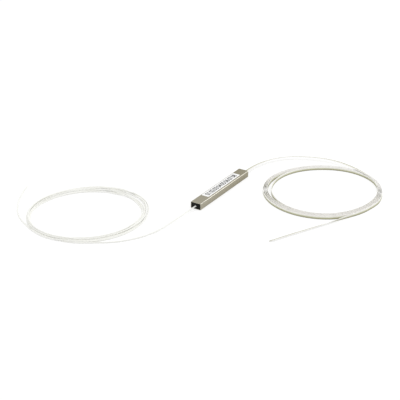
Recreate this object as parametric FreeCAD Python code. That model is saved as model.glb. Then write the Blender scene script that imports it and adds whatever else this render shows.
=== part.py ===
import FreeCAD, Part
import math
import os

# Planar waveguide splitter for optical fibre in a slim steel tube: one fibre in, eight out.
# Frame: millimetres, +Z up, origin under the middle of the steel tube on the surface it lies on,
# +X from the input end towards the output end, +Y to the left of that.

# Steel tube
tube_length = 60.0
tube_width = 7.5
tube_height = 4.5
tube_wall = 0.3
tube_edge_radius = 0.5

# Number label stuck on the top of the tube
label_length = 40.0
label_width = 5.6
label_thickness = 0.08
label_corner_radius = 1.0
label_shift = (1.3, 0.3)

# Rubber plugs that close the tube's ends
plug_thickness = 3.0
plug_recess = 0.5
plug_clearance = 0.02

# Fibres, loose tube and ribbon
bare_fibre_diameter = 0.125
coated_fibre_diameter = 0.25
fibre_pitch = 0.25
output_fibres = 8
loose_tube_diameter = 0.9
loose_tube_bore = 0.5
ribbon_width = 2.1
ribbon_thickness = 0.3

# Optical stack: chip with a fibre block bonded to each polished end
chip_length = 13.0
stack_width = 2.5
base_thickness = 0.95
lid_thickness = 0.9
joint_angle = 8.0
block_length = 8.0
block_lid_length = 5.0
groove_angle = 60.0
groove_clearance = 0.003
pad_length = 6.0
pad_width = 2.2
pad_thickness = 0.8

# How the fibres come in
seal_clearance = 0.01
input_exit_shift = 0.2
loose_tube_inside = 8.0
fibre_bend_start = 1.0
fibre_bend_margin = 2.3
coating_start = 0.8
glue_height = 0.7
glue_margin = 0.3
input_glue_width = 1.2
glue_side = 0.1

# Coils: long and short outer radius, long and short hole radius, centre, hole shift, turn of the
# long axis, and height
input_coil_outer = (38.4, 36.2)
input_coil_hole = (34.6, 32.8)
input_coil_centre = (-72.9, 52.9)
input_coil_hole_shift = (-1.3, 0.5)
input_coil_turn = -28.0
input_coil_height = 2.6
output_coil_outer = (39.9, 37.9)
output_coil_hole = (36.0, 33.8)
output_coil_centre = (35.5, -57.0)
output_coil_hole_shift = (1.1, -0.3)
output_coil_turn = -14.0
output_coil_height = 2.7
coil_lap = 13.0
ribbon_twist_length = 7.0
twist_steps = 6
arc_share = 0.45

# Heights that follow from the stack
stack_floor = tube_wall + pad_thickness
base_top = stack_floor + base_thickness
bare_radius = bare_fibre_diameter / 2
groove_fit = bare_radius + groove_clearance
fibre_height = base_top - groove_fit
loose_tube_radius = loose_tube_diameter / 2
exit_distance = tube_length / 2 - plug_recess

# Routes of the free fibre, first point at the plug or at the coil
input_lead_route = [
    (-exit_distance, input_exit_shift, fibre_height),
    (-39.0, input_exit_shift, fibre_height),
    (-50.0, 1.2, 1.3),
    (-61.0, 1.8, 0.9),
    (-71.2, 3.4, 0.6),
    (-81.0, 7.0, 0.5),
    (-90.0, 12.8, loose_tube_radius),
    (-97.0, 20.2, loose_tube_radius),
    (-101.0, 27.8, loose_tube_radius),
]
input_tail_route = [
    (-104.9, 75.7, loose_tube_radius),
    (-102.2, 83.2, loose_tube_radius),
    (-96.5, 91.0, loose_tube_radius),
    (-88.8, 97.8, loose_tube_radius),
    (-80.0, 103.4, loose_tube_radius),
    (-71.0, 108.3, loose_tube_radius),
    (-62.5, 112.1, loose_tube_radius),
]
output_lead_route = [
    (exit_distance, 0.0),
    (43.5, 0.0),
    (57.4, -3.2),
    (69.6, -10.6),
    (77.4, -22.6),
    (81.6, -36.2),
    (79.8, -49.7),
    (76.7, -58.6),
]
output_tail_route = [
    (10.0, -86.1),
    (-7.5, -77.3),
    (-25.3, -68.9),
    (-42.9, -60.8),
]


def vector(x, y, z):
    return FreeCAD.Vector(x, y, z)


def rounded_rectangle(width, height, radius):
    """Closed wire in the XY plane, centred on the origin."""
    x = width / 2
    y = height / 2
    inner_x = x - radius
    inner_y = y - radius
    diagonal = radius * math.sqrt(0.5)
    edges = []
    corners = [(inner_x, inner_y, 1, 1), (-inner_x, inner_y, -1, 1),
               (-inner_x, -inner_y, -1, -1), (inner_x, -inner_y, 1, -1)]
    for cx, cy, sx, sy in corners:
        on_x = vector(cx + sx * radius, cy, 0)
        on_y = vector(cx, cy + sy * radius, 0)
        middle = vector(cx + sx * diagonal, cy + sy * diagonal, 0)
        edges.append(Part.Arc(on_x, middle, on_y).toShape())
    edges.append(Part.makeLine(vector(inner_x, y, 0), vector(-inner_x, y, 0)))
    edges.append(Part.makeLine(vector(-x, inner_y, 0), vector(-x, -inner_y, 0)))
    edges.append(Part.makeLine(vector(-inner_x, -y, 0), vector(inner_x, -y, 0)))
    edges.append(Part.makeLine(vector(x, -inner_y, 0), vector(x, inner_y, 0)))
    return Part.Wire(Part.__sortEdges__(edges))


def rounded_bar(length, width, height, radius):
    """Bar along X, centred in X and Y, with its lowest face at z = 0."""
    face = Part.Face(rounded_rectangle(width, height, radius))
    bar = face.extrude(vector(0, 0, length))
    bar.rotate(vector(0, 0, 0), vector(0, 0, 1), 90)
    bar.rotate(vector(0, 0, 0), vector(0, 1, 0), 90)
    bar.translate(vector(-length / 2, 0, height / 2))
    return bar


def box(start, end, width, low, high):
    """Box from start to end along X, centred in Y."""
    x = min(start, end)
    return Part.makeBox(abs(end - start), width, high - low, vector(x, -width / 2, low))


def fibre_cylinder(start, end, radius, y):
    """Straight fibre along X at the fibre height."""
    x = min(start, end)
    return Part.makeCylinder(radius, abs(end - start), vector(x, y, fibre_height), vector(1, 0, 0))


def path_wire(points, skip=0.0):
    """Straight runs joined by tangent arcs, less the first skip of its length; and the arc radii."""
    corners = [vector(*point) for point in points]
    edges = []
    radii = []
    here = corners[0] + (corners[1] - corners[0]).normalize() * skip
    for before, corner, after in zip(corners, corners[1:], corners[2:]):
        inward = (corner - before).normalize()
        outward = (after - corner).normalize()
        turn = inward.getAngle(outward)
        reach = arc_share * min((corner - before).Length, (after - corner).Length)
        radius = reach / math.tan(turn / 2)
        arc_start = corner - inward * reach
        arc_end = corner + outward * reach
        depth = radius / math.cos(turn / 2) - radius
        arc_middle = corner + (outward - inward).normalize() * depth
        edges.append(Part.LineSegment(here, arc_start).toShape())
        edges.append(Part.Arc(arc_start, arc_middle, arc_end).toShape())
        radii.append(radius)
        here = arc_end
    edges.append(Part.LineSegment(here, corners[-1]).toShape())
    return Part.Wire(edges), radii


def report_cord(name, solid, section, length, radii):
    """Prints the arc radii and compares the volume with section times length."""
    print(name, "arc radii", [round(radius, 1) for radius in radii])
    print(name, "length", round(length, 1), "volume ratio", round(solid.Volume / (section * length), 4))


def round_cord(name, route, radius):
    """Round cord along the route."""
    wire, radii = path_wire(route)
    start = vector(*route[0])
    profile = Part.Wire(Part.makeCircle(radius, start, vector(*route[1]) - start))
    solid = wire.makePipeShell([profile], True, True)
    report_cord(name, solid, math.pi * radius ** 2, wire.Length, radii)
    return solid


def ribbon_profile(centre, direction, angle):
    """Ribbon section across a level direction: angle 0 lies flat, 90 degrees stands on its edge."""
    up = vector(0, 0, 1)
    across = direction.cross(up)
    wide = (across * math.cos(angle) + up * math.sin(angle)) * (ribbon_width / 2)
    thin = (up * math.cos(angle) - across * math.sin(angle)) * (ribbon_thickness / 2)
    corners = [centre + wide + thin, centre - wide + thin, centre - wide - thin, centre + wide - thin]
    return Part.makePolygon(corners + [corners[0]])


def resting_height(angle):
    """Height of the ribbon's middle when its lowest edge touches the surface below it."""
    return (ribbon_width * math.sin(angle) + ribbon_thickness * math.cos(angle)) / 2


def exit_height(angle):
    """Height of the ribbon's middle on its way from the plug, whatever its angle."""
    return fibre_height


def ribbon_cord(name, route, first_angle, last_angle, height_at):
    """Ribbon that turns between two angles along its straight start, then keeps the last."""
    level = height_at(last_angle)
    points = [(x, y, level) for x, y in route]
    direction = (vector(*points[1]) - vector(*points[0])).normalize()
    profiles = []
    for step in range(twist_steps + 1):
        share = step / twist_steps
        angle = first_angle + (last_angle - first_angle) * share
        centre = vector(*route[0], height_at(angle)) + direction * (ribbon_twist_length * share)
        profiles.append(ribbon_profile(centre, direction, angle))
    twist = Part.makeLoft(profiles, True, True)
    wire, radii = path_wire(points, ribbon_twist_length)
    sweep = Part.BRepOffsetAPI.MakePipeShell(wire)
    sweep.setBiNormalMode(vector(0, 0, 1))
    sweep.add(profiles[-1])
    sweep.build()
    sweep.makeSolid()
    solid = twist.fuse(sweep.shape())
    report_cord(name, solid, ribbon_width * ribbon_thickness, wire.Length + ribbon_twist_length, radii)
    return solid


def oval_prism(radii, centre, turn, height):
    """Upright oval prism standing on z = 0."""
    oval = Part.Ellipse(vector(0, 0, 0), radii[0], radii[1]).toShape()
    prism = Part.Face(Part.Wire(oval)).extrude(vector(0, 0, height))
    prism.rotate(vector(0, 0, 0), vector(0, 0, 1), turn)
    prism.translate(vector(centre[0], centre[1], 0))
    return prism


def coil_ring(outer, hole, centre, hole_shift, turn, height):
    """Outer shape of a loose coil: an oval ring with its hole a little off centre."""
    hole_centre = (centre[0] + hole_shift[0], centre[1] + hole_shift[1])
    return oval_prism(outer, centre, turn, height).cut(oval_prism(hole, hole_centre, turn, height))


def lap_bar(end, before, thickness, low, high):
    """Straight bar that carries a cord's end straight on into its coil."""
    start = vector(end[0], end[1], low)
    direction = (start - vector(before[0], before[1], low)).normalize()
    far = start + direction * coil_lap
    across = direction.cross(vector(0, 0, 1)) * (thickness / 2)
    outline = Part.makePolygon([start - across, far - across, far + across, start + across, start - across])
    return Part.Face(outline).extrude(vector(0, 0, high - low))


def lean(z):
    """How far a joint face polished to the joint angle stands off square at height z."""
    return (z - fibre_height) * math.tan(math.radians(joint_angle))


def leaning_slab(joint_x, far_x, low, high, width):
    """Block from a polished joint face to a square end."""
    corners = [(joint_x + lean(low), low), (far_x, low), (far_x, high), (joint_x + lean(high), high)]
    points = [vector(x, -width / 2, z) for x, z in corners]
    return Part.Face(Part.makePolygon(points + [points[0]])).extrude(vector(0, width, 0))


def chip_slab(low, high):
    """Layer of the chip, with both its end faces polished to the joint angle."""
    left = leaning_slab(-chip_length / 2, 0.0, low, high, stack_width)
    right = leaning_slab(chip_length / 2, 0.0, low, high, stack_width)
    return left.fuse(right).removeSplitter()


def fibre_rows(count):
    """Y positions of the fibres of a block, centred on it."""
    return [(row - (count - 1) / 2) * fibre_pitch for row in range(count)]


def groove(start, end, y):
    """V groove along X that seats one bare fibre just under the block's top."""
    half_angle = math.radians(groove_angle / 2)
    depth = groove_fit + groove_fit / math.sin(half_angle)
    half_width = depth * math.tan(half_angle)
    points = [vector(start, y - half_width, base_top), vector(start, y + half_width, base_top),
              vector(start, y, base_top - depth)]
    return Part.Face(Part.makePolygon(points + [points[0]])).extrude(vector(end - start, 0, 0))


def fibre_block(side, rows, ledge_top):
    """Grooved block on one side of the chip, with a lower ledge behind the grooves."""
    joint_x = side * chip_length / 2
    lid_end = joint_x + side * block_lid_length
    block_end = joint_x + side * block_length
    block = leaning_slab(joint_x, lid_end, stack_floor, base_top, stack_width)
    block = block.fuse(box(lid_end, block_end, stack_width, stack_floor, ledge_top)).removeSplitter()
    for y in rows:
        block = block.cut(groove(joint_x - side, lid_end + side, y))
    return block


def block_lid(side):
    joint_x = side * chip_length / 2
    lid_end = joint_x + side * block_lid_length
    return leaning_slab(joint_x, lid_end, base_top, base_top + lid_thickness, stack_width)


def bare_fibre(side, y):
    """Stripped fibre from the joint face to where its coating starts on the ledge."""
    joint_x = side * chip_length / 2
    end = joint_x + side * (block_lid_length + coating_start)
    fibre = fibre_cylinder(joint_x - side, end, bare_radius, y)
    return fibre.common(leaning_slab(joint_x, end, stack_floor, base_top, stack_width))


def mounting_pad(side):
    """Soft pad that carries a fibre block on the floor of the tube."""
    block_middle = side * (chip_length + block_length) / 2
    start = block_middle - pad_length / 2
    return box(start, start + pad_length, pad_width, tube_wall, stack_floor)


def glue_bead(side, width, ledge_top):
    """Bead of adhesive over the coated fibre on the ledge of a block."""
    joint_x = side * chip_length / 2
    start = joint_x + side * block_lid_length
    end = joint_x + side * (block_length - glue_margin)
    return box(start, end, width, ledge_top, ledge_top + glue_height)


def make_steel_tube():
    outside = rounded_bar(tube_length, tube_width, tube_height, tube_edge_radius)
    inside_width = tube_width - 2 * tube_wall
    inside_height = tube_height - 2 * tube_wall
    inside = rounded_bar(tube_length, inside_width, inside_height, tube_edge_radius - tube_wall)
    inside.translate(vector(0, 0, tube_wall))
    return outside.cut(inside)


def make_label():
    outline = rounded_rectangle(label_length, label_width, label_corner_radius)
    label = Part.Face(outline).extrude(vector(0, 0, label_thickness))
    label.translate(vector(label_shift[0], label_shift[1], tube_height))
    return label


def make_plug(side, opening):
    """Rubber plug with an opening for the fibre that passes through it."""
    width = tube_width - 2 * (tube_wall + plug_clearance)
    height = tube_height - 2 * (tube_wall + plug_clearance)
    plug = rounded_bar(plug_thickness, width, height, tube_edge_radius - tube_wall)
    middle = side * (exit_distance - plug_thickness / 2)
    plug.translate(vector(middle, 0, tube_wall + plug_clearance))
    return plug.cut(opening)


def make_input_side():
    """Loose tube's end, its coated fibre, the glue over it and the bare fibre."""
    ledge_top = fibre_height - coated_fibre_diameter / 2
    tube_end = loose_tube_inside - exit_distance
    joint_x = -chip_length / 2
    block_end = joint_x - block_length
    coating_end = joint_x - block_lid_length - coating_start
    y = input_exit_shift
    loose_tube = fibre_cylinder(-exit_distance, tube_end, loose_tube_radius, y)
    loose_tube = loose_tube.cut(fibre_cylinder(-exit_distance, tube_end, loose_tube_bore / 2, y))
    route = [(-exit_distance, y, fibre_height), (tube_end + fibre_bend_start, y, fibre_height),
             (block_end - fibre_bend_margin, 0.0, fibre_height), (coating_end, 0.0, fibre_height)]
    wire = path_wire(route)[0]
    profile = Part.Wire(Part.makeCircle(coated_fibre_diameter / 2, vector(*route[0]), vector(1, 0, 0)))
    coated = wire.makePipeShell([profile], True, True)
    glue = glue_bead(-1, input_glue_width, ledge_top)
    glue = glue.cut(box(coating_end, block_end, coated_fibre_diameter, ledge_top, fibre_height))
    glue = glue.cut(coated)
    bare = bare_fibre(-1, 0.0)
    opening = fibre_cylinder(-exit_distance, tube_end, loose_tube_radius + seal_clearance, y)
    return {
        "input_tube_end": loose_tube,
        "input_coated_fibre": coated,
        "input_bare_fibre": bare,
        "input_fibre_glue": glue.cut(bare),
        "input_fibre_block": fibre_block(-1, [0.0], ledge_top),
        "input_end_plug": make_plug(-1, opening),
    }


def make_output_side():
    """Ribbon's end, its stripped fibres and the glue over them."""
    ledge_top = fibre_height - ribbon_thickness / 2
    rows = fibre_rows(output_fibres)
    ribbon_start = chip_length / 2 + block_lid_length + coating_start
    half = ribbon_thickness / 2
    ribbon = box(ribbon_start, exit_distance, ribbon_width, fibre_height - half, fibre_height + half)
    glue_width = ribbon_width + glue_side * 2
    glue = glue_bead(1, glue_width, ledge_top).cut(ribbon)
    nodes = {}
    for number, y in enumerate(rows, 1):
        fibre = bare_fibre(1, y)
        glue = glue.cut(fibre)
        nodes[f"output_bare_fibre_{number}"] = fibre
    gap = half + seal_clearance
    opening = box(ribbon_start, exit_distance, ribbon_width + 2 * seal_clearance,
                  fibre_height - gap, fibre_height + gap)
    nodes["output_ribbon_end"] = ribbon
    nodes["output_fibre_glue"] = glue
    nodes["output_fibre_block"] = fibre_block(1, rows, ledge_top)
    nodes["output_end_plug"] = make_plug(1, opening)
    return nodes


def make_input_cords():
    ring = coil_ring(input_coil_outer, input_coil_hole, input_coil_centre, input_coil_hole_shift,
                     input_coil_turn, input_coil_height)
    for end, before in [(input_lead_route[-1], input_lead_route[-2]),
                        (input_tail_route[0], input_tail_route[1])]:
        ring = ring.fuse(lap_bar(end, before, loose_tube_diameter, 0.0, loose_tube_diameter))
    return {
        "input_lead": round_cord("input_lead", input_lead_route, loose_tube_radius),
        "input_coil": ring,
        "input_tail": round_cord("input_tail", input_tail_route, loose_tube_radius),
    }


def make_output_cords():
    """The lead leaves the plug flat; the coil's turns stand on edge; the tail turns flat again."""
    flat = 0.0
    on_edge = math.pi / 2
    ring = coil_ring(output_coil_outer, output_coil_hole, output_coil_centre, output_coil_hole_shift,
                     output_coil_turn, output_coil_height)
    half = ribbon_thickness / 2
    lead_lap = lap_bar(output_lead_route[-1], output_lead_route[-2], ribbon_width,
                       fibre_height - half, fibre_height + half)
    tail_lap = lap_bar(output_tail_route[0], output_tail_route[1], ribbon_thickness, 0.0, ribbon_width)
    lead = ribbon_cord("output_ribbon_lead", output_lead_route, flat, flat, exit_height)
    tail = ribbon_cord("output_ribbon_tail", output_tail_route, on_edge, flat, resting_height)
    return {
        "output_ribbon_lead": lead,
        "output_ribbon_coil": ring.fuse(lead_lap).fuse(tail_lap),
        "output_ribbon_tail": tail,
    }


nodes = {
    "steel_tube": make_steel_tube(),
    "number_label": make_label(),
    "splitter_chip": chip_slab(stack_floor, base_top),
    "chip_lid": chip_slab(base_top, base_top + lid_thickness),
    "input_block_lid": block_lid(-1),
    "output_block_lid": block_lid(1),
    "input_pad": mounting_pad(-1),
    "output_pad": mounting_pad(1),
}
nodes.update(make_input_side())
nodes.update(make_output_side())
nodes.update(make_input_cords())
nodes.update(make_output_cords())

os.makedirs("parts", exist_ok=True)
for name, shape in nodes.items():
    shape.exportStep(f"parts/{name}.step")
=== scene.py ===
import math

import bmesh
import bpy
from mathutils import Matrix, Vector


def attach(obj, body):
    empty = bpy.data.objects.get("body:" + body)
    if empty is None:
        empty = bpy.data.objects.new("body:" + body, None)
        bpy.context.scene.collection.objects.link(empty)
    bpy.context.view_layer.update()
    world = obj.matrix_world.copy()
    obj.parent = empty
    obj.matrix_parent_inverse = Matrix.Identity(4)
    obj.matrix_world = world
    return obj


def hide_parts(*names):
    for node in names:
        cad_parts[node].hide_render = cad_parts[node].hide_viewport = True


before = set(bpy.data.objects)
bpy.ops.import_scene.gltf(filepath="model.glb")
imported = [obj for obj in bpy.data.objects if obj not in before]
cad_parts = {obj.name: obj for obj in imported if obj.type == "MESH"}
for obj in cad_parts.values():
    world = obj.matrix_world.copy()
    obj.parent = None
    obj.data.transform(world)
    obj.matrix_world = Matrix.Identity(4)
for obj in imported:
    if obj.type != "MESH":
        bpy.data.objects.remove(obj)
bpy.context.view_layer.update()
scene = bpy.context.scene
scene.view_settings.view_transform = "Standard"
mm = 0.001


# ---- Camera ---------------------------------------------------------------------------------
# Looks down on the part from the input end's side, far enough away for its long lens to keep
# both coils undistorted.
view_drop = math.radians(26.14)
view_turn = math.radians(-57.53)
camera_back = (-13.4 * mm, -5.4 * mm, 657.1 * mm)

camera_data = bpy.data.cameras.new("camera")
camera_data.lens = 90
camera_data.sensor_width = 36
camera_data.clip_end = 20
camera = bpy.data.objects.new("camera", camera_data)
camera.rotation_euler = (math.pi / 2 - view_drop, 0, view_turn)
camera.location = camera.rotation_euler.to_matrix() @ Vector(camera_back)
scene.collection.objects.link(camera)
scene.camera = camera


# ---- Input fibre in its loose tube ----------------------------------------------------------
# One coated fibre in a thin white plastic tube, extruded over it. It comes out of the input
# plug, falls to the table, and is wound by hand into six slack turns; its far end is bare.
tube_thickness = 0.9 * mm
tube_lead = [
    (-29.5, 0.2, 1.9845),
    (-39.0, 0.3, 1.95),
    (-50.0, 0.9, 1.6),
    (-61.0, 1.7, 1.05),
    (-70.6, 3.3, 0.6),
    (-80.0, 6.9, 0.5),
    (-88.3, 12.0, 0.45),
    (-95.6, 19.0, 0.45),
    (-101.0, 27.4, 0.45),
]
tube_tail = [
    (-110.4, 60.6, 0.6),
    (-108.4, 68.6, 0.45),
    (-104.9, 75.7, 0.45),
    (-101.4, 83.4, 0.45),
    (-95.6, 91.0, 0.45),
    (-88.2, 97.7, 0.45),
    (-80.0, 103.4, 0.45),
    (-71.0, 108.3, 0.45),
    (-62.5, 112.1, 0.45),
]
tube_exit = Vector(tube_lead[0]) * mm
tube_coil_centre = (-72.5, 53.3)
tube_coil_start = 210
tube_points_per_turn = 24
# Reach of each turn from the coil's centre, every 30 degrees clockwise from the coil's start
tube_reaches = [
    (38.2, 37.2, 38.0, 37.8, 38.0, 37.8, 39.1, 40.4, 37.7, 36.0, 35.5, 35.8),
    (36.6, 36.2, 37.0, 36.8, 36.2, 35.2, 35.0, 34.3, 33.6, 34.3, 32.2, 31.6),
    (32.1, 34.1, 36.1, 35.8, 33.3, 32.0, 32.0, 32.7, 34.6, 34.6, 33.6, 33.6),
    (34.2, 35.4, 36.5, 36.3, 34.8, 32.9, 33.4, 35.1, 35.7, 35.5, 34.5, 34.8),
    (35.5, 36.7, 37.5, 37.3, 37.1, 36.8, 37.8, 37.2, 38.2, 36.5, 35.0, 34.4),
    (34.9, 35.9, 37.0, 36.8, 36.7, 35.9, 36.5, 38.9, 39.9, 37.6, 36.5, 36.8),
    (37.5, 38.3),
]


def around(values, angle):
    """Smooth value at an angle in degrees, from values given evenly round a circle."""
    place = (angle % 360) / 360 * len(values)
    index = int(place)
    part = place - index
    a, b, c, d = [values[(index + shift) % len(values)] for shift in (-1, 0, 1, 2)]
    slope = (c - a) / 2
    next_slope = (d - b) / 2
    bend = 3 * (c - b) - 2 * slope - next_slope
    twist = 2 * (b - c) + slope + next_slope
    return b + part * (slope + part * (bend + part * twist))


def mixed(first, second, share):
    """Value part of the way from the first to the second; the share is held between 0 and 1."""
    share = min(max(share, 0), 1)
    return first + (second - first) * share


def coil_point(centre, angle, reach, height):
    """Point of a coil, in metres, from its angle in degrees and its reach in millimetres."""
    x = centre[0] + reach * math.cos(math.radians(angle))
    y = centre[1] + reach * math.sin(math.radians(angle))
    return Vector((x, y, height)) * mm


def spline_line(name, points, thickness, detail):
    """Open smooth spline pulled along by its points, round in section if it has a thickness."""
    curve = bpy.data.curves.new(name, "CURVE")
    curve.dimensions = "3D"
    curve.resolution_u = detail
    curve.bevel_depth = 1 if thickness > 0 else 0
    curve.bevel_resolution = 5
    curve.use_fill_caps = thickness > 0
    spline = curve.splines.new("NURBS")
    spline.points.add(len(points) - 1)
    for place, point in zip(spline.points, points):
        place.co = (*point, 1)
        place.radius = thickness / 2
    spline.order_u = 3
    spline.use_endpoint_u = True
    piece = bpy.data.objects.new(name, curve)
    scene.collection.objects.link(piece)
    return piece


tube_points = [Vector(point) * mm for point in tube_lead]
# A spline runs inside the points that pull it, so a coil's points stand out by this share
tube_pull = 1 / math.cos(math.pi / tube_points_per_turn)
tube_across = tube_thickness / mm
reaches_in_order = [reach for turn in tube_reaches for reach in turn]
# Each turn lies on the table, or on the turns wound before it where it crosses them
wound = []
for step in range(2 * len(reaches_in_order) - 1):
    reach = (reaches_in_order[step // 2] + reaches_in_order[(step + 1) // 2]) / 2
    height = tube_across / 2
    for under_reach, under_height in wound[step % tube_points_per_turn::tube_points_per_turn]:
        apart = abs(reach - under_reach)
        if apart < tube_across:
            height = max(height, under_height + math.sqrt(tube_across ** 2 - apart ** 2))
    wound.append((reach, height))
    angle = tube_coil_start - 360 * step / tube_points_per_turn
    tube_points.append(coil_point(tube_coil_centre, angle, reach * tube_pull, height))
tube_points += [Vector(point) * mm for point in tube_tail]
loose_tube_cord = spline_line("loose_tube_cord", tube_points, tube_thickness, 6)


def line_of(points, detail):
    """Points read off the smooth spline that these points pull along."""
    line = spline_line("line", points, 0, detail)
    mesh = bpy.data.meshes.new_from_object(line)
    found = [vertex.co.copy() for vertex in mesh.vertices]
    bpy.data.objects.remove(line)
    bpy.data.meshes.remove(mesh)
    return found


def line_length(points):
    """Length of the way along the points."""
    return sum((b - a).length for a, b in zip(points, points[1:]))


tube_length = line_length(line_of(tube_points, 12))
print("loose tube length", round(tube_length, 4))
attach(loose_tube_cord, "root")
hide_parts("input_lead", "input_coil", "input_tail")


def new_material(name, colour, roughness):
    """Material with one principled shader, and short names for what is built into it."""
    material = bpy.data.materials.new(name)
    material.use_nodes = True
    shader = material.node_tree.nodes["Principled BSDF"]
    shader.inputs["Base Color"].default_value = (*colour, 1)
    shader.inputs["Roughness"].default_value = roughness
    return material, material.node_tree.nodes, material.node_tree.links, shader


def tone(red, green, blue):
    """Colour from the 0 to 255 tones in which it is mixed."""
    return tuple(((c / 255 + 0.055) / 1.055) ** 2.4 if c > 10 else c / 255 / 12.92
                 for c in (red, green, blue))


def add_node(nodes, kind, **values):
    """Node with its sockets set by name."""
    node = nodes.new(kind)
    for name, value in values.items():
        node.inputs[name.replace("_", " ")].default_value = value
    return node


# Extruded plastic: a faint cloud in its colour and gloss, and a surface that is not quite even
extruded = bpy.data.node_groups.new("extruded_plastic", "ShaderNodeTree")
for name, kind in (("Colour", "NodeSocketColor"), ("Cloud Colour", "NodeSocketColor"),
                   ("Gloss", "NodeSocketFloat"), ("Spacing", "NodeSocketFloat")):
    extruded.interface.new_socket(name, in_out="INPUT", socket_type=kind)
for name, kind in (("Colour", "NodeSocketColor"), ("Roughness", "NodeSocketFloat"),
                   ("Height", "NodeSocketFloat")):
    extruded.interface.new_socket(name, in_out="OUTPUT", socket_type=kind)
group_in = extruded.nodes.new("NodeGroupInput")
group_out = extruded.nodes.new("NodeGroupOutput")
place = extruded.nodes.new("ShaderNodeTexCoord")
cloud = add_node(extruded.nodes, "ShaderNodeTexNoise", Detail=3.0, Roughness=0.6)
blend = extruded.nodes.new("ShaderNodeMix")
blend.data_type = "RGBA"
spread = add_node(extruded.nodes, "ShaderNodeMapRange", From_Min=0.35, From_Max=0.65)
dull = extruded.nodes.new("ShaderNodeMath")
dull.operation = "MULTIPLY_ADD"
dull.inputs[1].default_value = 0.12
extruded.links.new(place.outputs["Object"], cloud.inputs["Vector"])
extruded.links.new(group_in.outputs["Spacing"], cloud.inputs["Scale"])
extruded.links.new(cloud.outputs["Fac"], spread.inputs["Value"])
extruded.links.new(spread.outputs["Result"], blend.inputs["Factor"])
extruded.links.new(group_in.outputs["Colour"], blend.inputs["A"])
extruded.links.new(group_in.outputs["Cloud Colour"], blend.inputs["B"])
extruded.links.new(spread.outputs["Result"], dull.inputs[0])
extruded.links.new(group_in.outputs["Gloss"], dull.inputs[2])
extruded.links.new(blend.outputs["Result"], group_out.inputs["Colour"])
extruded.links.new(dull.outputs["Value"], group_out.inputs["Roughness"])
extruded.links.new(cloud.outputs["Fac"], group_out.inputs["Height"])


def extruded_material(name, colour, cloud_colour, gloss, spacing, depth):
    """Extruded plastic of two near tones; spacing is clouds per metre, depth is in metres."""
    material, nodes, links, shader = new_material(name, colour, gloss)
    group = nodes.new("ShaderNodeGroup")
    group.node_tree = extruded
    group.inputs["Colour"].default_value = (*colour, 1)
    group.inputs["Cloud Colour"].default_value = (*cloud_colour, 1)
    group.inputs["Gloss"].default_value = gloss
    group.inputs["Spacing"].default_value = spacing
    shader.inputs["Specular IOR Level"].default_value = 0.35
    bump = add_node(nodes, "ShaderNodeBump", Strength=0.3, Distance=depth)
    links.new(group.outputs["Colour"], shader.inputs["Base Color"])
    links.new(group.outputs["Roughness"], shader.inputs["Roughness"])
    links.new(group.outputs["Height"], bump.inputs["Height"])
    links.new(bump.outputs["Normal"], shader.inputs["Normal"])
    return material


white_tube = extruded_material("white_tube", tone(251, 251, 247), tone(248, 248, 242), 0.3, 90, 0.00001)
loose_tube_cord.data.materials.append(white_tube)


# ---- Output ribbon --------------------------------------------------------------------------
# Eight coloured fibres side by side in a milky resin, as one flat ribbon. It leaves the output
# plug flat and is wound by hand into five turns that stand nearly on edge, each outside the one
# before. Its free end turns down again and rests on one edge, cut square and bare.
ribbon_width = 2.1 * mm
ribbon_thickness = 0.3 * mm
ribbon_fibres = 8
# Route points with the ribbon's turn from flat, in degrees
ribbon_lead = [
    ((29.5, 0.0, 1.9845), 0),
    ((43.5, 0.0, 1.96), 11),
    ((57.4, -3.2, 1.9), 18),
    ((69.6, -10.6, 1.85), 18),
    ((77.4, -22.6, 1.85), 14),
    ((81.8, -36.2, 1.95), 12),
    ((81.0, -49.0, 2.15), 8),
    ((77.6, -58.6, 2.35), 6),
    ((73.9, -67.8, 2.5), 16),
    ((69.0, -76.4, 2.4), 38),
    ((62.3, -83.4, 1.9), 62),
]
ribbon_tail = [
    ((19.0, -91.0, 1.07), 70),
    ((10.0, -86.6, 1.1), 96),
    ((1.5, -82.3, 0.95), 132),
    ((-7.0, -78.1, 0.64), 153),
    ((-16.0, -73.7, 0.5), 160),
    ((-25.0, -69.2, 0.48), 162),
    ((-34.0, -64.9, 0.48), 161),
    ((-42.9, -60.8, 0.5), 160),
]
ribbon_exit = Vector(ribbon_lead[0][0]) * mm
ribbon_coil_centre = (35.3, -57.1)
ribbon_coil_start = -60
ribbon_turns = 5.12
ribbon_points_per_turn = 24
# The whole coil has slumped one way: its turns lean in on that side and out on the other
ribbon_slump_side = 212
ribbon_slump = 27
# Reach of the innermost turn, of the next one and of the outermost, every 30 degrees
inmost_reach = [37.75, 35.75, 34.5, 33.6, 33.6, 34.6, 35.05, 34.65, 33.35, 33.45, 35.85, 38.15]
second_reach = [38.35, 36.5, 35.6, 36.2, 36.3, 36.1, 36.0, 35.7, 34.55, 34.4, 36.3, 38.5]
outmost_reach = [40.15, 38.75, 37.85, 38.25, 39.05, 39.15, 39.05, 38.75, 38.05, 37.55, 38.45, 39.95]


def ribbon_reach(turn, part, angle):
    """Reach of the ribbon's strand, each turn outside the one before."""
    second = around(second_reach, angle)
    outmost = around(outmost_reach, angle)
    early = (turn - 1) / 4
    middle = (turn - 1) / 3
    late = turn / 4
    share = mixed(mixed(early, middle, (part - 0.1) / 0.15), late, (part - 0.75) / 0.2)
    if turn == 0:
        return mixed(around(inmost_reach, angle), second, (part - 0.75) / 0.2)
    return second + (outmost - second) * share


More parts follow.
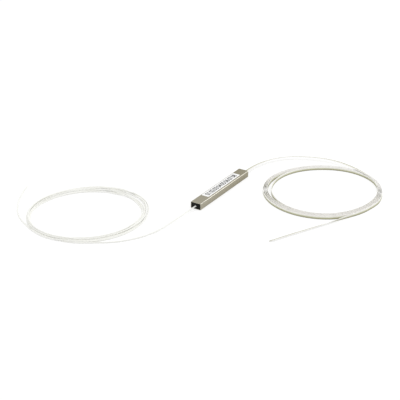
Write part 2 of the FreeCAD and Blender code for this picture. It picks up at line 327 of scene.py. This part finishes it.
ribbon_route = list(ribbon_lead)
ribbon_pull = 1 / math.cos(math.pi / ribbon_points_per_turn)
for step in range(int(ribbon_turns * ribbon_points_per_turn) + 1):
    turn, part = divmod(step / ribbon_points_per_turn, 1)
    angle = ribbon_coil_start - 360 * part
    reach = ribbon_reach(int(turn), part, angle)
    lift = 0.04 * (1 + math.sin(2.4 * turn + 1.7 * math.sin(math.radians(angle))))
    lean = 90 - ribbon_slump * math.cos(math.radians(angle - ribbon_slump_side)) + 2 * math.sin(1.9 * turn)
    lean = mixed(78, lean, step / 5)
    height = 1.05 * math.sin(math.radians(lean)) + 0.15 * abs(math.cos(math.radians(lean))) + lift
    point = coil_point(ribbon_coil_centre, angle, reach * ribbon_pull, height)
    ribbon_route.append((point / mm, lean))
ribbon_route += ribbon_tail

ribbon_points = [Vector(point) * mm for point, turned in ribbon_route]
ribbon_line = line_of(ribbon_points, 6)


def turned_at(share):
    """Turn of the ribbon from flat at a share of its spline, whose end spans are half as long."""
    last = len(ribbon_route) - 1
    place = share * (last - 1) + 0.5
    if share * (last - 1) < 0.5:
        place = 2 * share * (last - 1)
    if share * (last - 1) > last - 1.5:
        place = last - 2 * (1 - share) * (last - 1)
    index = min(int(place), last - 1)
    return mixed(ribbon_route[index][1], ribbon_route[index + 1][1], place - index)


def ribbon_section():
    """Outline of the ribbon round its fibres, and which fibre each side of it belongs to."""
    outline = []
    owners = []
    pitch = ribbon_width / ribbon_fibres
    half = ribbon_thickness / 2
    valley = half - 0.028 * mm
    for side in (1, -1):
        order = range(ribbon_fibres) if side > 0 else reversed(range(ribbon_fibres))
        for fibre in order:
            for part in (0.0, 0.3, 0.7):
                across = (fibre + part if side > 0 else fibre + 1 - part) * pitch - ribbon_width / 2
                crown = math.sin(math.pi * part) ** 0.7
                height = valley + (half - valley) * crown
                edge = abs(across) - (ribbon_width / 2 - half)
                if edge > 0:
                    height = min(height, math.sqrt(max(half * half - edge * edge, 0)) * 0.95)
                outline.append((across, side * height))
                owners.append(fibre)
    return outline, owners


def ribbon_mesh(name, line):
    """The ribbon's section carried along its line and turned as it runs."""
    outline, owners = ribbon_section()
    mesh = bmesh.new()
    rings = []
    for index, point in enumerate(line):
        ahead = line[min(index + 1, len(line) - 1)] - line[max(index - 1, 0)]
        ahead.normalize()
        flat = ahead.cross(Vector((0, 0, 1))).normalized()
        up = flat.cross(ahead)
        turned = math.radians(turned_at(index / (len(line) - 1)))
        across = math.cos(turned) * flat + math.sin(turned) * up
        through = math.cos(turned) * up - math.sin(turned) * flat
        rings.append([mesh.verts.new(point + a * across + t * through) for a, t in outline])
    for before, after in zip(rings, rings[1:]):
        for index, owner in enumerate(owners):
            other = (index + 1) % len(outline)
            face = mesh.faces.new((before[index], before[other], after[other], after[index]))
            face.material_index = owner
            face.smooth = True
    for ring in (rings[0], rings[-1]):
        half = len(ring) // 2
        for fibre in range(half // 3):
            near = [ring[3 * fibre + step] for step in range(4)]
            far = [ring[(len(ring) - 3 * fibre - step) % len(ring)] for step in range(4)]
            for step in range(3):
                corners = (near[step], near[step + 1], far[step + 1], far[step])
                corners = list(dict.fromkeys(corners))
                face = mesh.faces.new(corners)
                face.material_index = fibre
    bmesh.ops.remove_doubles(mesh, verts=mesh.verts, dist=0.0000001)
    bmesh.ops.recalc_face_normals(mesh, faces=mesh.faces)
    data = bpy.data.meshes.new(name)
    mesh.to_mesh(data)
    mesh.free()
    piece = bpy.data.objects.new(name, data)
    scene.collection.objects.link(piece)
    return piece


ribbon_cord = ribbon_mesh("ribbon_cord", ribbon_line)
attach(ribbon_cord, "root")
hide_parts("output_ribbon_lead", "output_ribbon_coil", "output_ribbon_tail")

# From the lower edge up: blue, orange, green, brown, slate, white, rose and clear, all milky. Their tones
# grow darker towards the lower edge, partly from the fibres' own colours and partly as painted shade
# for the coil's shaded near face and its contact shadow on the table, blue most of all
ribbon_tints_and_painted_shade = {
    "blue_fibre": (112, 122, 100),
    "orange_fibre": (196, 178, 146),
    "green_fibre": (178, 192, 154),
    "brown_fibre": (210, 206, 182),
    "slate_fibre": (232, 233, 216),
    "white_fibre": (250, 249, 242),
    "rose_fibre": (253, 249, 243),
    "clear_fibre": (254, 253, 250),
}
for name, tint in ribbon_tints_and_painted_shade.items():
    clouded = tuple(channel * 0.98 for channel in tint)
    ribbon_cord.data.materials.append(
        extruded_material(name, tone(*tint), tone(*clouded), 0.4, 160, 0.00001))


# ---- Steel tube -----------------------------------------------------------------------------
# Thin rectangular stainless tube that holds the optical stack, cut from drawn stock. Its long
# edges are rolled round and its cut ends are lightly deburred; the surface is brushed lengthwise.
housing_length = 60 * mm
housing_width = 7.5 * mm
housing_height = 4.5 * mm
housing_wall = 0.3 * mm
housing_corner = 0.5 * mm
housing_burr = 0.06 * mm
housing_corner_steps = 8
housing_side_steps = 4


def rounded_outline(width, height, radius, corner_steps, side_steps):
    """Points round a rectangle with rounded corners, the same count for any size."""
    points = []
    corners = ((1, -1, -90), (1, 1, 0), (-1, 1, 90), (-1, -1, 180))
    for corner_y, corner_z, start in corners:
        centre_y = corner_y * (width / 2 - radius)
        centre_z = corner_z * (height / 2 - radius)
        for step in range(corner_steps + 1):
            angle = math.radians(start + 90 * step / corner_steps)
            points.append((centre_y + radius * math.cos(angle), centre_z + radius * math.sin(angle)))
        end_y, end_z = points[-1]
        next_y, next_z, next_start = corners[(corners.index((corner_y, corner_z, start)) + 1) % 4]
        angle = math.radians(next_start)
        to_y = next_y * (width / 2 - radius) + radius * math.cos(angle)
        to_z = next_z * (height / 2 - radius) + radius * math.sin(angle)
        for step in range(1, side_steps):
            share = step / side_steps
            points.append((mixed(end_y, to_y, share), mixed(end_z, to_z, share)))
    return points


def bridged(mesh, first, second, smooth=True, finishes=(0,)):
    """Band of faces between two closed rings of the same count, its finishes used in turn."""
    for index in range(len(first)):
        other = (index + 1) % len(first)
        face = mesh.faces.new((first[index], first[other], second[other], second[index]))
        face.smooth = smooth
        face.material_index = finishes[index % len(finishes)]


def finished_piece(name, mesh, *materials):
    """Object made from a finished mesh, with its normals turned outward."""
    bmesh.ops.recalc_face_normals(mesh, faces=mesh.faces)
    data = bpy.data.meshes.new(name)
    mesh.to_mesh(data)
    mesh.free()
    for material in materials:
        data.materials.append(material)
    piece = bpy.data.objects.new(name, data)
    scene.collection.objects.link(piece)
    return piece


# The wall's own section: (distance from the end face, distance in from the outer surface)
wall_section = []
for step in range(5):
    angle = math.pi / 2 * step / 4
    wall_section.append((housing_burr * (1 - math.sin(angle)), housing_burr * (1 - math.cos(angle))))
for step in range(5):
    angle = math.pi / 2 * step / 4
    wall_section.append((housing_burr * (1 - math.cos(angle)),
                         housing_wall - housing_burr * (1 - math.sin(angle))))
housing_mesh = bmesh.new()
housing_rings = []
for end in (1, -1):
    section = wall_section if end > 0 else list(reversed(wall_section))
    for back, depth in section:
        outline = rounded_outline(housing_width - 2 * depth, housing_height - 2 * depth,
                                  housing_corner - depth, housing_corner_steps,
                                  housing_side_steps)
        x = end * (housing_length / 2 - back)
        housing_rings.append([housing_mesh.verts.new((x, y, z + housing_height / 2))
                              for y, z in outline])
# Round each corner the rolled edge comes first, its middle faces in a lighter steel that is a painted
# highlight, then the flat side up to the next corner
highlight_finishes = [1 if 1 < step < 6 else 0 for step in range(housing_corner_steps)]
highlight_finishes += [0] * housing_side_steps
for before, after in zip(housing_rings, housing_rings[1:] + housing_rings[:1]):
    bridged(housing_mesh, before, after, finishes=highlight_finishes)

# Brushed steel: long scratches along the tube, a slow drift of tone and a few deeper marks
brushed = bpy.data.node_groups.new("brushed_steel", "ShaderNodeTree")
for name, kind in (("Colour", "NodeSocketColor"), ("Mark Colour", "NodeSocketColor"),
                   ("Roughness", "NodeSocketFloat")):
    brushed.interface.new_socket(name, in_out="INPUT", socket_type=kind)
for name, kind in (("Colour", "NodeSocketColor"), ("Roughness", "NodeSocketFloat"),
                   ("Height", "NodeSocketFloat")):
    brushed.interface.new_socket(name, in_out="OUTPUT", socket_type=kind)
group_in = brushed.nodes.new("NodeGroupInput")
group_out = brushed.nodes.new("NodeGroupOutput")
place = brushed.nodes.new("ShaderNodeTexCoord")
stretch = brushed.nodes.new("ShaderNodeMapping")
stretch.inputs["Scale"].default_value = (40, 6000, 6000)
scratches = add_node(brushed.nodes, "ShaderNodeTexNoise", Scale=1.0, Detail=4.0, Roughness=0.65)
drift = add_node(brushed.nodes, "ShaderNodeTexNoise", Scale=140.0, Detail=2.0)
blend = brushed.nodes.new("ShaderNodeMix")
blend.data_type = "RGBA"
drift_blend = brushed.nodes.new("ShaderNodeMix")
drift_blend.data_type = "RGBA"
spread = add_node(brushed.nodes, "ShaderNodeMapRange", From_Min=0.38, From_Max=0.66)
drift_spread = add_node(brushed.nodes, "ShaderNodeMapRange", From_Min=0.3, From_Max=0.7, To_Max=0.5)
dull = brushed.nodes.new("ShaderNodeMath")
dull.operation = "MULTIPLY_ADD"
dull.inputs[1].default_value = 0.1
links = brushed.links
links.new(place.outputs["Object"], stretch.inputs["Vector"])
links.new(stretch.outputs["Vector"], scratches.inputs["Vector"])
links.new(place.outputs["Object"], drift.inputs["Vector"])
links.new(scratches.outputs["Fac"], spread.inputs["Value"])
links.new(drift.outputs["Fac"], drift_spread.inputs["Value"])
links.new(spread.outputs["Result"], blend.inputs["Factor"])
links.new(group_in.outputs["Colour"], blend.inputs["A"])
links.new(group_in.outputs["Mark Colour"], blend.inputs["B"])
links.new(drift_spread.outputs["Result"], drift_blend.inputs["Factor"])
links.new(blend.outputs["Result"], drift_blend.inputs["A"])
links.new(group_in.outputs["Mark Colour"], drift_blend.inputs["B"])
links.new(spread.outputs["Result"], dull.inputs[0])
links.new(group_in.outputs["Roughness"], dull.inputs[2])
links.new(drift_blend.outputs["Result"], group_out.inputs["Colour"])
links.new(dull.outputs["Value"], group_out.inputs["Roughness"])
links.new(scratches.outputs["Fac"], group_out.inputs["Height"])


def steel_material(name, colour, mark_colour, roughness, mark_depth):
    """Steel with brush marks; mark_depth is in metres."""
    material, nodes, links, shader = new_material(name, colour, roughness)
    shader.inputs["Metallic"].default_value = 1
    shader.inputs["Specular Tint"].default_value = (*tone(190, 186, 172), 1)
    group = nodes.new("ShaderNodeGroup")
    group.node_tree = brushed
    group.inputs["Colour"].default_value = (*colour, 1)
    group.inputs["Mark Colour"].default_value = (*mark_colour, 1)
    group.inputs["Roughness"].default_value = roughness
    bump = add_node(nodes, "ShaderNodeBump", Strength=0.12, Distance=mark_depth)
    links.new(group.outputs["Colour"], shader.inputs["Base Color"])
    links.new(group.outputs["Roughness"], shader.inputs["Roughness"])
    links.new(group.outputs["Height"], bump.inputs["Height"])
    links.new(bump.outputs["Normal"], shader.inputs["Normal"])
    return material


steel = steel_material("brushed_steel", tone(174, 170, 155), tone(165, 160, 145), 0.2, 0.00001)
# The rolled edges' lighter steel is a painted highlight: it stands in for the bright line the lamps lay
# along them
edge_highlight_steel = steel_material("rolled_edge_painted_highlight", tone(208, 205, 195), tone(199, 196, 184), 0.24, 0.000004)

housing = finished_piece("housing", housing_mesh, steel, edge_highlight_steel)
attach(housing, "root")
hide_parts("steel_tube")


# ---- Number label ---------------------------------------------------------------------------
# White film stuck along the top of the tube, die cut with rounded corners. A row of plain
# digits is printed on it in dark grey ink.
label_length = 40 * mm
label_width = 5.6 * mm
label_thickness = 0.08 * mm
label_corner = 1.0 * mm
label_middle = Vector((1.3 * mm, 0.3 * mm, housing_height))
digit_row = "01 02 03 04 05 06 07 08"
digit_height = 3.8 * mm
digit_row_length = 36 * mm
digit_ink = 0.008 * mm

label_mesh = bmesh.new()
label_rings = []
label_edge = 0.02 * mm
for inset, height in ((0, 0), (0, label_thickness - label_edge), (label_edge, label_thickness)):
    outline = rounded_outline(label_length - 2 * inset, label_width - 2 * inset,
                              label_corner - inset, 10, 12)
    label_rings.append([label_mesh.verts.new((x, y, height)) for x, y in outline])
bridged(label_mesh, label_rings[0], label_rings[1], smooth=False)
bridged(label_mesh, label_rings[1], label_rings[2], smooth=False)
label_mesh.faces.new(label_rings[2])
label_mesh.faces.new(label_rings[0])
for vertex in label_mesh.verts:
    vertex.co += label_middle

film, nodes, links, shader = new_material("label_film", tone(250, 250, 249), 0.35)
place = nodes.new("ShaderNodeTexCoord")
mottle = add_node(nodes, "ShaderNodeTexNoise", Scale=900.0, Detail=4.0)
film_tone = nodes.new("ShaderNodeValToRGB")
film_tone.color_ramp.elements[0].color = (*tone(247, 247, 246), 1)
film_tone.color_ramp.elements[1].color = (*tone(253, 253, 252), 1)
bump = add_node(nodes, "ShaderNodeBump", Strength=0.15, Distance=0.00001)
links.new(place.outputs["Object"], mottle.inputs["Vector"])
links.new(mottle.outputs["Fac"], film_tone.inputs["Fac"])
links.new(film_tone.outputs["Color"], shader.inputs["Base Color"])
links.new(mottle.outputs["Fac"], bump.inputs["Height"])
links.new(bump.outputs["Normal"], shader.inputs["Normal"])
label = finished_piece("label", label_mesh, film)
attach(label, "root")
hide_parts("number_label")

digits_text = bpy.data.curves.new("digits", "FONT")
digits_text.body = digit_row
digits_text.align_x = "CENTER"
digits_text.align_y = "CENTER"
digits_text.offset = 0.03
digits_text.space_word = 0.45
digits_text.extrude = 0.01
digits_form = bpy.data.objects.new("digits_form", digits_text)
scene.collection.objects.link(digits_form)
digits_data = bpy.data.meshes.new_from_object(digits_form)
bpy.data.objects.remove(digits_form)
low = Vector([min(v.co[axis] for v in digits_data.vertices) for axis in range(3)])
high = Vector([max(v.co[axis] for v in digits_data.vertices) for axis in range(3)])
for vertex in digits_data.vertices:
    share = [(vertex.co[axis] - low[axis]) / (high[axis] - low[axis]) - 0.5 for axis in range(3)]
    vertex.co = label_middle + Vector((share[0] * digit_row_length, share[1] * digit_height,
                                       label_thickness + share[2] * digit_ink))

ink, nodes, links, shader = new_material("grey_ink", tone(74, 74, 73), 0.5)
place = nodes.new("ShaderNodeTexCoord")
patches = add_node(nodes, "ShaderNodeTexNoise", Scale=2600.0, Detail=3.0)
cover = nodes.new("ShaderNodeValToRGB")
cover.color_ramp.elements[0].position = 0.3
cover.color_ramp.elements[0].color = (*tone(48, 48, 48), 1)
cover.color_ramp.elements[1].position = 0.75
cover.color_ramp.elements[1].color = (*tone(82, 82, 80), 1)
links.new(place.outputs["Object"], patches.inputs["Vector"])
links.new(patches.outputs["Fac"], cover.inputs["Fac"])
links.new(cover.outputs["Color"], shader.inputs["Base Color"])
digits_data.materials.clear()
digits_data.materials.append(ink)
digits = bpy.data.objects.new("digits", digits_data)
scene.collection.objects.link(digits)
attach(digits, "root")


# ---- End plugs ------------------------------------------------------------------------------
# Black rubber plugs pushed into the tube's ends and glued. Each has a softly rounded outer
# face, set back from the rim, and a raised lip moulded round the fibre's way out.
plug_thickness = 3.0 * mm
plug_recess = 0.5 * mm
plug_gap = 0.02 * mm
plug_lip = 0.22 * mm
plug_width = housing_width - 2 * housing_wall - 2 * plug_gap
plug_height = housing_height - 2 * housing_wall - 2 * plug_gap
plug_corner = housing_corner - housing_wall - plug_gap


def plug_mesh(end, hole):
    """Plug with its outer face at an end of the tube; the hole is (y, z, width, height)."""
    mesh = bmesh.new()
    hole_y, hole_z, hole_width, hole_height = hole
    middle_z = housing_height / 2
    face_x = housing_length / 2 - plug_recess
    rim = rounded_outline(plug_width, plug_height, plug_corner, 8, 6)
    hole_corner = min(hole_width, hole_height) / 2 * 0.999
    bore = rounded_outline(hole_width, hole_height, hole_corner, 8, 6)
    # Each ring: share of the way from rim to bore, extra reach round the bore, height of face
    steps = [(0, 0, -plug_thickness), (0, 0, -0.2 * mm), (0.02, 0, -0.08 * mm), (0.06, 0, -0.01 * mm),
             (0.3, 0, 0.03 * mm), (0.6, 0, 0.04 * mm), (0.8, 0, 0.04 * mm), (1, 0.42 * mm, 0.05 * mm),
             (1, 0.38 * mm, 0.14 * mm), (1, 0.3 * mm, 0.2 * mm), (1, 0.18 * mm, plug_lip),
             (1, 0.08 * mm, 0.19 * mm), (1, 0.01 * mm, 0.1 * mm), (1, 0.01 * mm, -plug_thickness)]
    rings = []
    for share, reach, height in steps:
        ring = []
        for (rim_y, rim_z), (bore_y, bore_z) in zip(rim, bore):
            outward = Vector((bore_y, bore_z)).normalized() * (reach if share == 1 else 0.42 * mm)
            to_y = hole_y + bore_y + outward.x
            to_z = hole_z - middle_z + bore_z + outward.y
            y = mixed(rim_y, to_y, share)
            z = mixed(rim_z, to_z, share)
            ring.append(mesh.verts.new((end * (face_x + height), y, z + middle_z)))
        rings.append(ring)
    for before, after in zip(rings, rings[1:] + rings[:1]):
        bridged(mesh, before, after)
    return mesh


rubber, nodes, links, shader = new_material("black_rubber", tone(26, 26, 24), 0.7)
shader.inputs["Specular IOR Level"].default_value = 0.15
place = nodes.new("ShaderNodeTexCoord")
grain = add_node(nodes, "ShaderNodeTexNoise", Scale=3200.0, Detail=5.0, Roughness=0.6)
bloom = add_node(nodes, "ShaderNodeTexNoise", Scale=420.0, Detail=3.0)
bloom_tone = nodes.new("ShaderNodeValToRGB")
bloom_tone.color_ramp.elements[0].position = 0.35
bloom_tone.color_ramp.elements[0].color = (*tone(22, 22, 20), 1)
bloom_tone.color_ramp.elements[1].position = 0.8
bloom_tone.color_ramp.elements[1].color = (*tone(34, 34, 31), 1)
bump = add_node(nodes, "ShaderNodeBump", Strength=0.4, Distance=0.00003)
links.new(place.outputs["Object"], grain.inputs["Vector"])
links.new(place.outputs["Object"], bloom.inputs["Vector"])
links.new(bloom.outputs["Fac"], bloom_tone.inputs["Fac"])
links.new(bloom_tone.outputs["Color"], shader.inputs["Base Color"])
links.new(grain.outputs["Fac"], bump.inputs["Height"])
links.new(bump.outputs["Normal"], shader.inputs["Normal"])

tube_hole = (tube_exit.y, tube_exit.z, 0.93 * mm, 0.93 * mm)
ribbon_hole = (ribbon_exit.y, ribbon_exit.z, 2.14 * mm, 0.34 * mm)
for name, end, hole, node in (("input_plug", -1, tube_hole, "input_end_plug"),
                              ("output_plug", 1, ribbon_hole, "output_end_plug")):
    plug = finished_piece(name, plug_mesh(end, hole), rubber)
    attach(plug, "root")
    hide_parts(node)


# ---- Optical stack inside the tube ----------------------------------------------------------
# The silica chip with its glass lid, the glass fibre blocks bonded to both its ends, and the
# soft pads, adhesive and fibres that go with them. They are sealed in and keep their own shape.
def inner_material(name, colour, second_colour, roughness, spacing, transmission=0.0):
    """Plain or clear material with a fine cloud of a second tone."""
    material, nodes, links, shader = new_material(name, tone(*colour), roughness)
    shader.inputs["Transmission Weight"].default_value = transmission
    place = nodes.new("ShaderNodeTexCoord")
    cloud = add_node(nodes, "ShaderNodeTexNoise", Scale=spacing, Detail=3.0)
    ramp = nodes.new("ShaderNodeValToRGB")
    ramp.color_ramp.elements[0].position = 0.35
    ramp.color_ramp.elements[0].color = (*tone(*colour), 1)
    ramp.color_ramp.elements[1].position = 0.7
    ramp.color_ramp.elements[1].color = (*tone(*second_colour), 1)
    links.new(place.outputs["Object"], cloud.inputs["Vector"])
    links.new(cloud.outputs["Fac"], ramp.inputs["Fac"])
    links.new(ramp.outputs["Color"], shader.inputs["Base Color"])
    return material


inner_finishes = {
    "chip_silica": inner_material("chip_silica", (196, 202, 208), (206, 210, 214), 0.12, 400),
    "clear_glass": inner_material("clear_glass", (236, 242, 242), (244, 248, 248), 0.06, 300, 0.9),
    "pad_silicone": inner_material("pad_silicone", (206, 204, 198), (216, 214, 208), 0.55, 1200),
    "bare_glass_fibre": inner_material("bare_glass_fibre", (232, 238, 240), (240, 244, 246), 0.1, 900, 0.7),
    "coated_fibre": inner_material("coated_fibre", (238, 236, 228), (246, 244, 238), 0.3, 700),
    "clear_adhesive": inner_material("clear_adhesive", (238, 232, 208), (244, 240, 222), 0.2, 500, 0.6),
}
slot_of_node = {
    "splitter_chip": "chip_silica",
    "chip_lid": "clear_glass",
    "input_block_lid": "clear_glass",
    "output_block_lid": "clear_glass",
    "input_fibre_block": "clear_glass",
    "output_fibre_block": "clear_glass",
    "input_pad": "pad_silicone",
    "output_pad": "pad_silicone",
    "input_bare_fibre": "bare_glass_fibre",
    "input_coated_fibre": "coated_fibre",
    "input_fibre_glue": "clear_adhesive",
    "output_fibre_glue": "clear_adhesive",
}
for number in range(1, 9):
    slot_of_node["output_bare_fibre_" + str(number)] = "bare_glass_fibre"
for node, finish in slot_of_node.items():
    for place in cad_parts[node].material_slots:
        place.material = inner_finishes[finish]
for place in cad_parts["input_tube_end"].material_slots:
    place.material = white_tube
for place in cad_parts["output_ribbon_end"].material_slots:
    place.material = bpy.data.materials["white_fibre"]


# ---- Table and light ------------------------------------------------------------------------
# A wide matt white table under an even white sky. A broad soft lamp stands nearly overhead, and a
# square panel beyond the output end lights the steel's rolled edges. The camera sees part of the
# table's white as a glow, which keeps the shadows faint; all else sees a plain white table.
table_mesh = bmesh.new()
table_size = 3.0
for x, y in ((-1, -1), (1, -1), (1, 1), (-1, 1)):
    table_mesh.verts.new((x * table_size, y * table_size, 0))
table_mesh.faces.new(table_mesh.verts)
table_white, nodes, links, shader = new_material("table_white", (0.9, 0.9, 0.9), 0.9)
shader.inputs["Specular IOR Level"].default_value = 0.0
path = nodes.new("ShaderNodeLightPath")
surface = nodes.new("ShaderNodeMix")
surface.data_type = "RGBA"
surface.inputs["A"].default_value = (0.9, 0.9, 0.9, 1)
surface.inputs["B"].default_value = (0.35, 0.35, 0.35, 1)
mirrored = nodes.new("ShaderNodeMath")
mirrored.operation = "MULTIPLY"
mirrored.inputs[1].default_value = 0.2
glow = nodes.new("ShaderNodeMath")
glow.operation = "MULTIPLY_ADD"
glow.inputs[1].default_value = 0.7
links.new(path.outputs["Is Camera Ray"], surface.inputs["Factor"])
links.new(surface.outputs["Result"], shader.inputs["Base Color"])
links.new(path.outputs["Is Glossy Ray"], mirrored.inputs[0])
links.new(path.outputs["Is Camera Ray"], glow.inputs[0])
links.new(mirrored.outputs["Value"], glow.inputs[2])
links.new(glow.outputs["Value"], shader.inputs["Emission Strength"])
shader.inputs["Emission Color"].default_value = (1, 1, 1, 1)
table = finished_piece("table", table_mesh, table_white)

world = bpy.data.worlds.new("studio")
world.use_nodes = True
scene.world = world
nodes = world.node_tree.nodes
links = world.node_tree.links
sky = nodes["Background"]
sky.inputs["Color"].default_value = (1, 1, 1, 1)
path = nodes.new("ShaderNodeLightPath")
seen = nodes.new("ShaderNodeMath")
seen.operation = "MAXIMUM"
seen_through = nodes.new("ShaderNodeMath")
seen_through.operation = "MAXIMUM"
level = add_node(nodes, "ShaderNodeMapRange", To_Min=0.8, To_Max=1.0)
links.new(path.outputs["Is Camera Ray"], seen.inputs[0])
links.new(path.outputs["Is Glossy Ray"], seen.inputs[1])
links.new(seen.outputs["Value"], seen_through.inputs[0])
links.new(path.outputs["Is Transmission Ray"], seen_through.inputs[1])
links.new(seen_through.outputs["Value"], level.inputs["Value"])
links.new(level.outputs["Result"], sky.inputs["Strength"])

lamp_data = bpy.data.lights.new("soft_lamp", "SUN")
lamp_data.energy = 0.5
lamp_data.angle = math.radians(40)
lamp = bpy.data.objects.new("soft_lamp", lamp_data)
lamp.rotation_euler = Vector((0.14, 0.09, 0.986)).to_track_quat("Z", "Y").to_euler()
scene.collection.objects.link(lamp)

panel_data = bpy.data.lights.new("side_panel", "AREA")
panel_data.shape = "SQUARE"
panel_data.size = 0.6
panel_data.energy = 2.6
panel = bpy.data.objects.new("side_panel", panel_data)
panel.location = Vector((0.9945, -0.559, 0.598))
panel.rotation_euler = panel.location.to_track_quat("Z", "Y").to_euler()
scene.collection.objects.link(panel)
